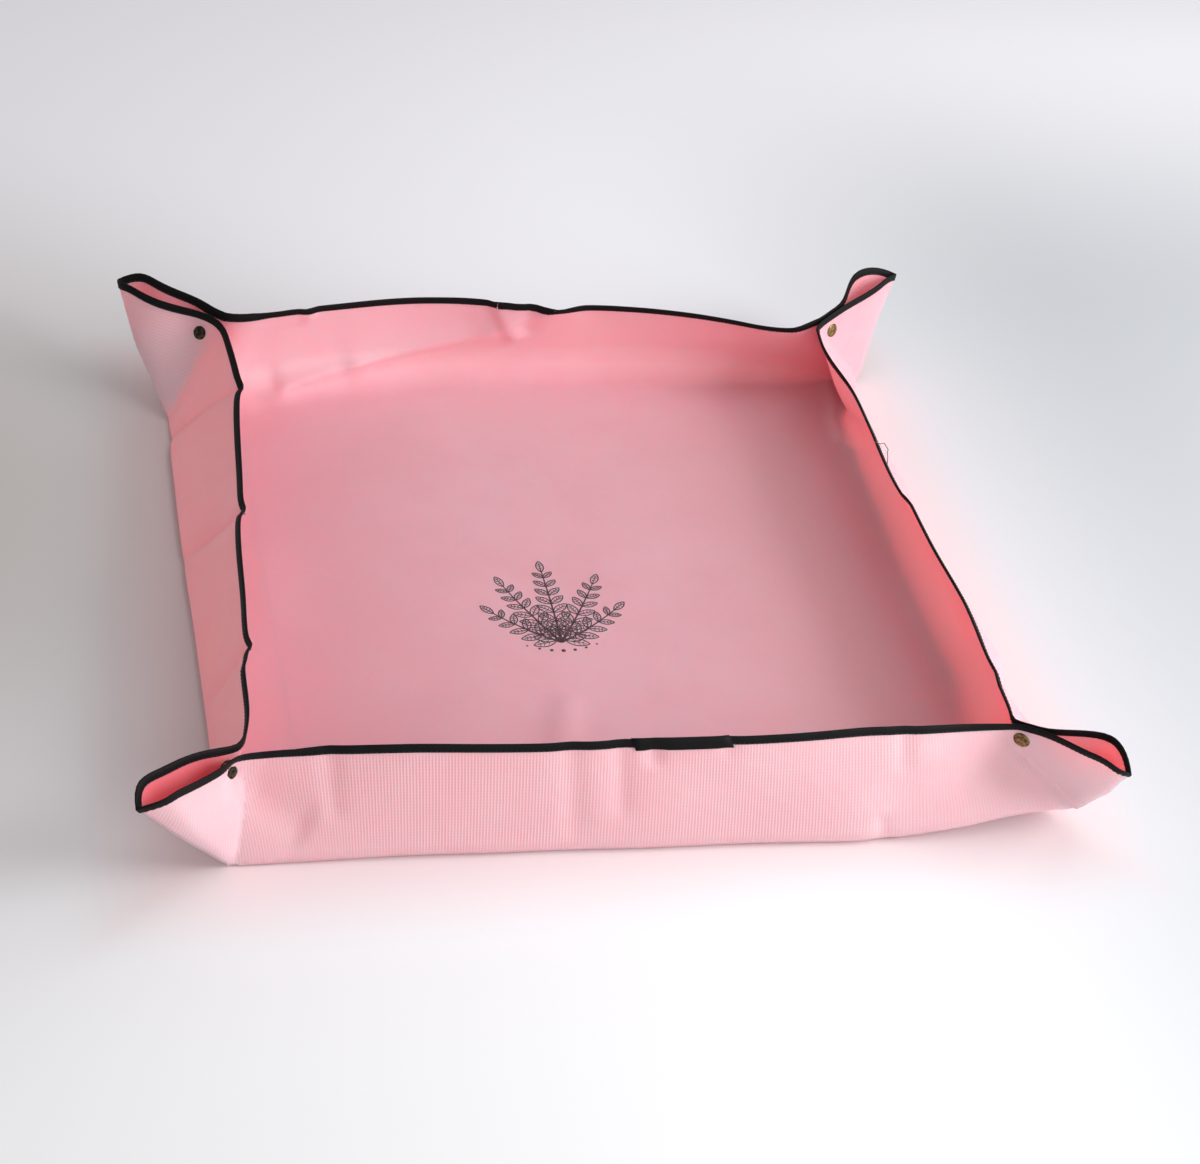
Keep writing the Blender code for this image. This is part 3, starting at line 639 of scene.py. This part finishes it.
def piece_of(x, y):
    """Which piece of the sheet a flat place belongs to: the floor, a wall, or one half of an ear."""
    outs = (-y, x, y, -x)
    alongs = (x, y, -x, -y)
    index = max(range(4), key=lambda item: outs[item])
    wall, out, along = WALLS[index], outs[index] - FOLD_LINE, alongs[index]
    if out < -FLOOR_MARGIN:
        return "floor"
    past = (abs(along) - FOOT_ALONG) * ACROSS_FOLD[0] + out * ACROSS_FOLD[1]
    if past > -0.5 * EAR_CREASE and out > 0:
        return f"{(STARTS if along < 0 else ENDS)[wall]}_ear_{wall}"
    return f"{wall}_wall"


def mesh_from(bm, name):
    mesh = bpy.data.meshes.new(name)
    bm.to_mesh(mesh)
    bm.free()
    return mesh


def store_normals(mesh):
    kept = mesh.attributes.new("whole_normal", "FLOAT_VECTOR", "POINT")
    kept.data.foreach_set("vector", np.array([vert.normal for vert in mesh.vertices]).ravel())


def add_piece(name, mesh, materials):
    obj = bpy.data.objects.new(name, mesh)
    bpy.context.scene.collection.objects.link(obj)
    for item in materials:
        mesh.materials.append(item)
    return obj


def close_cuts(bm):
    """Joins the inner and outer face of the cloth along the edges where one piece was cut from the next."""
    pair = bm.verts.layers.int["pair"]
    open_edges = {}
    for edge in bm.edges:
        if edge.is_boundary:
            open_edges.setdefault(frozenset(vert[pair] for vert in edge.verts), []).append(edge)
    for edges in open_edges.values():
        if len(edges) == 2:
            first, second = edges
            a, b = first.link_loops[0].edge.verts
            other = {vert[pair]: vert for vert in second.verts}
            ring = (a, b, other[b[pair]], other[a[pair]])
            if first.link_loops[0].vert == a:
                ring = ring[::-1]
            bm.faces.new(ring)


def split_mesh(whole, names, name):
    """The faces of one piece, with the whole mesh's normals, so that no seam shows between pieces."""
    bm = bmesh.new()
    bm.from_mesh(whole)
    layer = bm.faces.layers.int["piece"]
    others = [face for face in bm.faces if names[face[layer]] != name]
    bmesh.ops.delete(bm, geom=others, context="FACES")
    if "pair" in bm.verts.layers.int:
        close_cuts(bm)
    else:
        bmesh.ops.holes_fill(bm, edges=[edge for edge in bm.edges if edge.is_boundary], sides=0)
    mesh = mesh_from(bm, name)
    mesh.shade_smooth()
    normals = np.empty(len(mesh.vertices) * 3, np.float32)
    mesh.attributes["whole_normal"].data.foreach_get("vector", normals)
    mesh.normals_split_custom_set_from_vertices(normals.reshape(-1, 3))
    for spare in ("whole_normal", "pair"):
        if spare in mesh.attributes:
            mesh.attributes.remove(mesh.attributes[spare])
    return mesh


def make_sheet():
    bm = flat_sheet()
    names = ["floor", *RING_PIECES]
    layer = bm.faces.layers.int.new("piece")
    uv = bm.loops.layers.uv.new("flat")
    cuts = {name: [0.0, [], []] for name in names}
    for face in bm.faces:
        middle = face.calc_center_median()
        found = piece_of(middle.x, middle.y)
        face[layer] = names.index(found)
        cuts[found][0] += face.calc_area()
        for loop in face.loops:
            cuts[found][1].append(loop.vert.co.x)
            cuts[found][2].append(loop.vert.co.y)
            loop[uv].uv = (loop.vert.co.x / SHEET_SIDE + 0.5, loop.vert.co.y / SHEET_SIDE + 0.5)
    pair = bm.verts.layers.int.new("pair")
    for number, vert in enumerate(bm.verts):
        vert[pair] = number
    mesh = mesh_from(bm, "sheet")
    fold_mesh(mesh)
    mesh.shade_smooth()
    holder = add_piece("sheet_whole", mesh, [INSIDE, OUTSIDE])
    wall = holder.modifiers.new("cloth_thickness", "SOLIDIFY")
    wall.thickness = SHEET_THICKNESS
    wall.offset = 0
    wall.material_offset = 1
    wall.material_offset_rim = 1
    bpy.context.view_layer.update()
    thick = bpy.data.meshes.new_from_object(holder.evaluated_get(bpy.context.evaluated_depsgraph_get()))
    bpy.data.objects.remove(holder)
    store_normals(thick)
    made = {}
    for name in names:
        made[name] = add_piece(f"{name}_cloth", split_mesh(thick, names, name), [INSIDE, OUTSIDE])
    return made, {name: (area, max(x) - min(x), max(y) - min(y)) for name, (area, x, y) in cuts.items()}


# Pieces that lie along the sheet's edge are drawn flat and then folded with it


def edge_ring(section):
    """A closed section (distance in from the edge, height) run round the sheet's rounded square."""
    bm = bmesh.new()
    start = [bm.verts.new((-SHEET_HALF + CORNER_RADIUS, -SHEET_HALF + inset, height)) for inset, height in section]
    face = bm.faces.new(start)
    straight = SHEET_SIDE - 2 * CORNER_RADIUS
    cells = round(straight / TAPE_CELL)
    for index in range(4):
        way = quarter_turns(index) @ Vector((straight / cells, 0, 0))
        for _ in range(cells):
            made = bmesh.ops.extrude_face_region(bm, geom=[face])["geom"]
            bmesh.ops.delete(bm, geom=[face], context="FACES_ONLY")
            face = next(item for item in made if isinstance(item, bmesh.types.BMFace))
            bmesh.ops.translate(bm, verts=face.verts, vec=way)
        inner = SHEET_HALF - CORNER_RADIUS
        centre = quarter_turns(index) @ Vector((inner, -inner, 0))
        turned = bmesh.ops.spin(
            bm, geom=[face], cent=centre, axis=(0, 0, 1), angle=math.radians(90), steps=14
        )["geom_last"]
        bmesh.ops.delete(bm, geom=[face], context="FACES_ONLY")
        face = next(item for item in turned if isinstance(item, bmesh.types.BMFace))
    bmesh.ops.delete(bm, geom=[face], context="FACES_ONLY")
    bmesh.ops.remove_doubles(bm, verts=bm.verts, dist=1e-5)
    bmesh.ops.recalc_face_normals(bm, faces=bm.faces)
    return bm


def make_ring(bm, suffix, materials):
    """Folds a ring of pieces on the sheet's edge, and parts it where the walls and ears part."""
    if "piece" not in bm.faces.layers.int:
        layer = bm.faces.layers.int.new("piece")
        for face in bm.faces:
            middle = face.calc_center_median()
            face[layer] = RING_PIECES.index(piece_of(middle.x, middle.y))
    mesh = mesh_from(bm, suffix)
    fold_mesh(mesh)
    mesh.shade_smooth()
    store_normals(mesh)
    made = {}
    for name in RING_PIECES:
        made[name] = add_piece(f"{name}_{suffix}", split_mesh(mesh, RING_PIECES, name), materials)
    return made


def make_tape():
    half = SHEET_THICKNESS / 2 + TAPE_STAND
    upper = [
        (TAPE_WIDTH - 0.0010, SHEET_THICKNESS / 2),
        (TAPE_WIDTH - 0.0012, half - 0.0002),
        (TAPE_WIDTH - 0.0018, half),
        (TAPE_WIDTH * 0.62, half + 0.00015),
        (0.0010, half),
        (-0.0004, half * 0.8),
        (-0.0009, half * 0.35),
    ]
    section = upper + [(inset, -height) for inset, height in reversed(upper)]
    return make_ring(edge_ring(section), "tape", [TAPE])


def make_join():
    """The tape's ends overlap on the front rim: a second layer, a little thicker and wider."""
    bm = bmesh.new()
    top = SHEET_THICKNESS / 2 + TAPE_STAND + JOIN_STAND
    section = [(0.0074, 0.0004), (0.0066, top), (0.0010, top), (-0.0013, top * 0.6)]
    section += [(inset, -height) for inset, height in reversed(section)]
    slant = 0.4
    start = [(JOIN_START + inset * slant, -SHEET_HALF + inset, height) for inset, height in section]
    face = bm.faces.new([bm.verts.new(place) for place in start])
    last = face
    for _ in range(JOIN_STEPS):
        made = bmesh.ops.extrude_face_region(bm, geom=[last])["geom"]
        if last is not face:
            bmesh.ops.delete(bm, geom=[last], context="FACES_ONLY")
        last = next(item for item in made if isinstance(item, bmesh.types.BMFace))
        bmesh.ops.translate(bm, verts=last.verts, vec=(JOIN_STEP, 0, 0))
    bmesh.ops.recalc_face_normals(bm, faces=bm.faces)
    return finish_flat(bm, "tape_join", [TAPE])


def finish_flat(bm, name, materials):
    mesh = mesh_from(bm, name)
    fold_mesh(mesh)
    mesh.shade_smooth()
    obj = add_piece(name, mesh, materials)
    return obj


def stitch_places():
    """Middle and heading of every stitch, round the sheet at one distance in from its edge."""
    inner = SHEET_HALF - CORNER_RADIUS
    straight, radius = 2 * inner, CORNER_RADIUS - STITCH_INSET
    arc = radius * math.pi / 2
    count = round(4 * (straight + arc) / STITCH_PITCH / 4)
    for index in range(4):
        turn = quarter_turns(index)
        for number in range(count):
            run = (straight + arc) * (number + 0.5) / count
            if run < straight:
                place, heading = Vector((run - inner, STITCH_INSET - SHEET_HALF, 0)), 0.0
            else:
                heading = (run - straight) / radius
                place = Vector((inner + radius * math.sin(heading), -inner - radius * math.cos(heading), 0))
            yield turn @ place, heading + math.radians(90) * index


def make_stitches():
    """Lockstitches on both faces of the tape, each a short raised bar."""
    bm = bmesh.new()
    layer = bm.faces.layers.int.new("piece")
    height = SHEET_THICKNESS / 2 + TAPE_STAND
    for place, heading in stitch_places():
        piece = RING_PIECES.index(piece_of(place.x, place.y))
        for side in (1, -1):
            where = Matrix.Translation(place + Vector((0, 0, side * height))) @ Matrix.Rotation(heading, 4, "Z")
            size = Matrix.Diagonal((STITCH_LENGTH, THREAD, THREAD * 1.4, 1))
            made = bmesh.ops.create_cube(bm, size=1, matrix=where @ size)["verts"]
            for vert in made:
                if vert.co.z * side > height:
                    vert.co = place + (vert.co - place) * 0.72 + Vector((0, 0, 0.28 * vert.co.z))
            for face in {face for vert in made for face in vert.link_faces}:
                face[layer] = piece
    return make_ring(bm, "stitches", [BLACK_THREAD])


def make_loose_thread():
    """A thread end that was left long where the sewing stopped, on the right rim."""
    points = ((372, 50, -1), (378, 48, -4), (382, 52, -7), (386, 49, -9), (391, 53, -9), (394, 51, -6), (396, 55, -3))
    bm = bmesh.new()
    rings = []
    for index, point in enumerate(points):
        ahead = Vector(points[min(index + 1, len(points) - 1)]) - Vector(points[max(index - 1, 0)])
        turn = ahead.to_track_quat("Z", "Y").to_matrix().to_4x4()
        where = Matrix.Translation(Vector(point) / 1000) @ turn
        rings.append(bmesh.ops.create_circle(bm, cap_ends=True, segments=6, radius=LOOSE_RADIUS, matrix=where)["verts"])
    for near, far in zip(rings, rings[1:]):
        for index in range(6):
            after = (index + 1) % 6
            bm.faces.new((near[index], near[after], far[after], far[index]))
    inner = [face for face in bm.faces if len(face.verts) == 6 and face.verts[0] not in (*rings[0], *rings[-1])]
    bmesh.ops.delete(bm, geom=inner, context="FACES_ONLY")
    bmesh.ops.recalc_face_normals(bm, faces=bm.faces)
    return finish_flat(bm, "loose_thread", [PALE_THREAD])


def add_stroke(bm, points, widths):
    """A flat printed line through points, with its own width at each."""
    pairs = []
    for index, point in enumerate(points):
        ahead = points[min(index + 1, len(points) - 1)] - points[max(index - 1, 0)]
        off = Vector((-ahead.y, ahead.x)).normalized() * widths[index] / 2
        pairs.append([bm.verts.new((*(point + side * off), 0)) for side in (-1, 1)])
    for (a, b), (c, d) in zip(pairs, pairs[1:]):
        bm.faces.new((a, c, d, b))


def add_leaf(bm, foot, heading, length, width):
    """A leaf in outline, with its middle vein and side veins."""
    way = Vector((math.cos(heading), math.sin(heading)))
    over = Vector((-way.y, way.x))
    steps = 12
    for side in (-1, 1):
        points = [
            foot + way * length * step / steps + over * side * width / 2 * math.sin(math.pi * step / steps) ** 0.8
            for step in range(steps + 1)
        ]
        add_stroke(bm, points, [0.0009] * len(points))
        for share in (0.3, 0.5, 0.68):
            start = foot + way * length * share
            reach = width * 0.36 * math.sin(math.pi * share)
            add_stroke(bm, [start, start + (over * side + way * 0.8) * reach], [0.0006, 0.0004])
    add_stroke(bm, [foot, foot + way * length * 0.86], [0.0009, 0.0005])


def add_sprig(bm, foot, heading, length, bend, pairs):
    """A stem that bends evenly, with leaves in pairs that grow smaller toward its tip, and one at its end."""
    point = Vector(foot)
    steps = pairs * 3
    stem = [point.copy()]
    headings = [heading]
    for _ in range(steps):
        point = point + Vector((math.cos(heading), math.sin(heading))) * length / steps
        heading += bend / steps
        stem.append(point.copy())
        headings.append(heading)
    add_stroke(bm, stem, [0.0018 - 0.0009 * index / steps for index in range(steps + 1)])
    for pair in range(1, pairs + 1):
        at = pair * 3 - 2
        size = 1 - 0.5 * pair / pairs
        for side in (-1, 1):
            add_leaf(bm, stem[at], headings[at] + side * 0.85, 0.021 * size, 0.0095 * size)
    add_leaf(bm, stem[-1], headings[-1], 0.014, 0.006)


def make_print():
    """A leafy sprig, printed in dark ink on the floor."""
    bm = bmesh.new()
    foot = Vector(PRINT_MIDDLE) + Vector((0, -0.045))
    for tilt, length, bend, pairs in ((0, 0.092, 0.06, 8), (0.5, 0.082, -0.1, 7), (1.0, 0.062, -0.25, 5)):
        for side in (1, -1) if tilt else (1,):
            add_sprig(bm, foot, math.radians(90) + side * tilt, length, side * bend, pairs)
    for step in range(-3, 4):
        middle = foot + Vector((step * 0.009, -0.010 + 0.0008 * step * step))
        where = Matrix.Translation((*middle, 0))
        bmesh.ops.create_circle(bm, cap_ends=True, segments=16, radius=0.0017 - 0.0003 * abs(step), matrix=where)
    made = bmesh.ops.extrude_face_region(bm, geom=bm.faces[:])["geom"]
    top = [item for item in made if isinstance(item, bmesh.types.BMVert)]
    for vert in bm.verts:
        vert.co.z = SHEET_THICKNESS / 2 - 0.0001
    bmesh.ops.translate(bm, verts=top, vec=(0, 0, 0.00022))
    bmesh.ops.recalc_face_normals(bm, faces=bm.faces)
    return finish_flat(bm, "floor_print", [INK])


def snap_face(wall, side, profile, name, materials, hole=0):
    """A turned snap face on the outside of one ear half, where the cloth has settled, its hole a flat disc painted
    near-black as shade.
    """
    index = WALLS.index(wall)
    turn = quarter_turns(index)
    spot = turn @ Vector((side * SNAP_SPOT[0], -SNAP_SPOT[1], 0))
    reach = 0.004
    around = [spot, spot + Vector((reach, 0, 0)), spot - Vector((reach, 0, 0))]
    around += [spot + Vector((0, reach, 0)), spot - Vector((0, reach, 0))]
    middle, right, left, ahead, behind = [Vector(place) for place in fold_places(np.array([tuple(v) for v in around]))]
    outward = -(right - left).cross(ahead - behind).normalized()
    bm = bmesh.new()
    verts = [bm.verts.new((radius / 1000, 0, height / 1000)) for radius, height in profile]
    edges = [bm.edges.new(pair) for pair in zip(verts, verts[1:])]
    bmesh.ops.spin(
        bm, geom=[*verts, *edges], cent=(0, 0, 0), axis=(0, 0, 1), angle=math.radians(360), steps=48, use_merge=True
    )
    bmesh.ops.remove_doubles(bm, verts=bm.verts, dist=1e-6)
    bmesh.ops.recalc_face_normals(bm, faces=bm.faces)
    for face in bm.faces:
        centre = face.calc_center_median()
        face.material_index = int(math.hypot(centre.x, centre.y) * 1000 < hole)
    seat = middle + outward * SHEET_THICKNESS / 2
    placing = outward.to_track_quat("Z", "Y").to_matrix().to_4x4()
    bmesh.ops.transform(bm, matrix=Matrix.Translation(seat) @ placing, verts=bm.verts)
    mesh = mesh_from(bm, name)
    mesh.shade_smooth()
    return add_piece(name, mesh, materials)


def make_snap_faces():
    """Domed caps with a shallow dish, and on the other halves the flared rings that hold the studs."""
    for wall in WALLS:
        corner = ENDS[wall]
        made = snap_face(wall, 1, CAP_PROFILE, f"{corner}_cap", [BRASS])
        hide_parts(f"{corner}_snap_cap")
        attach(made, f"{corner}_ear_{wall}_half")
        corner = STARTS[wall]
        made = snap_face(wall, -1, RING_PROFILE, f"{corner}_ring", [RING_BRASS, HOLE_SHADE], RING_HOLE)
        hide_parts(f"{corner}_snap_post")
        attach(made, f"{corner}_ear_{wall}_half")


def ride_cloth(obj, name):
    """The floor's cloth rides the floor; a wall's or an ear's cloth only has its placing baked in, and an ear's fold
    axis is looked up but not used.
    """
    if name == "floor":
        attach(obj, "floor")
        return
    if name.endswith("_wall"):
        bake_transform(obj)
        return
    corner, wall = name.split("_ear_")
    joint = next(item for item in frame["joints"] if item["name"] == f"{corner}_{wall}_ear_fold")
    axis = Vector(joint["axis"])
    if axis.z < 0:
        axis = -axis
    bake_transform(obj)


# Camera, floor and light


def make_camera():
    """The view that was fitted to the tray's corners, pinches and snaps."""
    turn, tilt, roll_by = math.radians(-13.93), math.radians(36.88), math.radians(-7.01)
    ahead = Vector((-math.sin(turn) * math.cos(tilt), math.cos(turn) * math.cos(tilt), -math.sin(tilt)))
    right = ahead.cross(Vector((0, 0, 1))).normalized()
    down = ahead.cross(right)
    across = right * math.cos(roll_by) + down * math.sin(roll_by)
    lower = down * math.cos(roll_by) - right * math.sin(roll_by)
    view = bpy.data.objects.new("camera", bpy.data.cameras.new("camera"))
    bpy.context.scene.collection.objects.link(view)
    view.matrix_world = Matrix.Translation((-0.3238, -1.41205, 1.09026)) @ Matrix(
        (across, -lower, -ahead)
    ).transposed().to_4x4()
    view.data.lens = 68.36
    view.data.sensor_width = 36
    view.data.clip_end = 50
    bpy.context.scene.camera = view


def area_light(name, place, aim, size, power):
    lamp = bpy.data.lights.new(name, "AREA")
    lamp.shape = "RECTANGLE"
    lamp.size, lamp.size_y = size
    lamp.energy = power
    obj = bpy.data.objects.new(name, lamp)
    bpy.context.scene.collection.objects.link(obj)
    obj.location = place
    obj.rotation_euler = (Vector(aim) - Vector(place)).to_track_quat("-Z", "Y").to_euler()


def board_with_painted_light():
    """The board's tones, with painted light and shade: a painted shadow left of the tray, painted shade toward the
    right, painted pink light where the cloth throws its colour, and pale ahead.
    """
    made, tree, shader = new_material("board_with_painted_light")
    place = node(tree, "ShaderNodeTexCoord").outputs["Object"]
    apart = node(tree, "ShaderNodeSeparateXYZ", links={0: place}).outputs
    dim_spot = node(tree, "ShaderNodeMapping", {"Location": (0.66, -0.12, 0)}, {"Vector": place}).outputs[0]
    dim_spot = node(tree, "ShaderNodeVectorMath", {"operation": "LENGTH"}, {0: dim_spot}).outputs["Value"]
    sides = node(tree, "ShaderNodeVectorMath", {"operation": "ABSOLUTE"}, {0: place}).outputs[0]
    sides = node(tree, "ShaderNodeSeparateXYZ", links={0: sides}).outputs
    box = node(tree, "ShaderNodeMath", {"operation": "MAXIMUM"}, {0: sides["X"], 1: sides["Y"]}).outputs[0]
    # where each share of a tone starts and is full, in metres, and how much it then is
    shares = {}
    for name, source, start, full, most in (
        ("ahead", apart["Y"], -0.1, -0.8, 1.0),
        ("right", apart["X"], 0.05, 0.6, 1.0),
        ("near", apart["Y"], 1.1, 0.4, 1.0),
        ("dim", dim_spot, 0.72, 0.0, 1.0),
        ("thrown", box, 0.39, 0.30, 0.4),
        ("far", apart["Y"], 0.1, 1.1, 0.08),
    ):
        settings = {"interpolation_type": "SMOOTHSTEP", 1: start, 2: full, 3: 0.0, 4: most}
        shares[name] = node(tree, "ShaderNodeMapRange", settings, {0: source}).outputs[0]
    # Painted shade: toward the right the board is drawn greyer, fading away behind the tray
    beside = {0: shares["right"], 1: shares["near"]}
    beside = node(tree, "ShaderNodeMath", {"operation": "MULTIPLY"}, beside).outputs[0]
    tones = {"data_type": "RGBA", 6: colour("#eeeff4"), 7: colour("#eff2f3")}
    pale = node(tree, "ShaderNodeMix", tones, {0: shares["ahead"]}).outputs[2]
    pale = node(tree, "ShaderNodeMix", {"data_type": "RGBA", 7: colour("#b6babf")}, {0: beside, 6: pale}).outputs[2]
    seen = pale
    # Painted shadow left of the tray, and painted pink light thrown from the cloth round its edges
    for name, shade in (("dim", "#b5afab"), ("thrown", "#e3b4b3")):
        under = {0: shares[name], 6: seen}
        seen = node(tree, "ShaderNodeMix", {"data_type": "RGBA", 7: colour(shade)}, under).outputs[2]
    # other rays meet one pale tone, and only the camera sees the far end a little lifted by a painted glow
    eye = node(tree, "ShaderNodeLightPath").outputs["Is Camera Ray"]
    tone = node(tree, "ShaderNodeMix", {"data_type": "RGBA", 6: colour("#e6e6e9")}, {0: eye, 7: seen}).outputs[2]
    lift = node(tree, "ShaderNodeMath", {"operation": "MULTIPLY"}, {0: eye, 1: shares["far"]}).outputs[0]
    tree.links.new(tone, shader.inputs["Base Color"])
    tree.links.new(pale, shader.inputs["Emission Color"])
    tree.links.new(lift, shader.inputs["Emission Strength"])
    shader.inputs["Roughness"].default_value = 0.7
    return made


def make_studio():
    bm = bmesh.new()
    bmesh.ops.create_grid(bm, x_segments=1, y_segments=1, size=6)
    mesh = mesh_from(bm, "table")
    table = add_piece("table", mesh, [board_with_painted_light()])
    table.location.z = -0.0002
    world = bpy.data.worlds.new("studio")
    bpy.context.scene.world = world
    world.use_nodes = True
    back = world.node_tree.nodes["Background"]
    back.inputs["Color"].default_value = colour("#f9f3f2")
    back.inputs["Strength"].default_value = 0.43
    area_light("window", (1.75, -0.65, 0.98), (0, 0, 0.05), (1.3, 1.1), 41)
    area_light("room", (0.4, -2.4, 1.1), (0, 0, 0.05), (2.0, 1.2), 16)
    area_light("ceiling", (0.8, 0.2, 1.5), (0.25, 0, 0.05), (1.2, 1.6), 9)
    bpy.context.scene.view_settings.view_transform = "Standard"


def build():
    make_camera()
    make_studio()
    cloth, cuts = make_sheet()
    tape = make_tape()
    stitches = make_stitches()
    make_snap_faces()
    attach(make_join(), "front_wall")
    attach(make_loose_thread(), "right_wall")
    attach(make_print(), "floor")
    for name, obj in cloth.items():
        ride_cloth(obj, name)
        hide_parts(f"{name}_side" if "_ear_" in name else f"{name}_panel")
    for name, obj in tape.items():
        if name.endswith("_wall"):
            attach(obj, name)
            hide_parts(f"{name}_binding")
        else:
            ride_cloth(obj, name)
            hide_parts(name.replace("_ear_", "_binding_") + "_side")
    for name, obj in stitches.items():
        if name.endswith("_wall"):
            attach(obj, name)
        else:
            ride_cloth(obj, name)
    for name, obj in frame["nodes"].items():
        if "_snap_" in name:
            obj.data.materials.clear()
            obj.data.materials.append(SPRING if name.endswith("_spring") else RING_BRASS)


build()
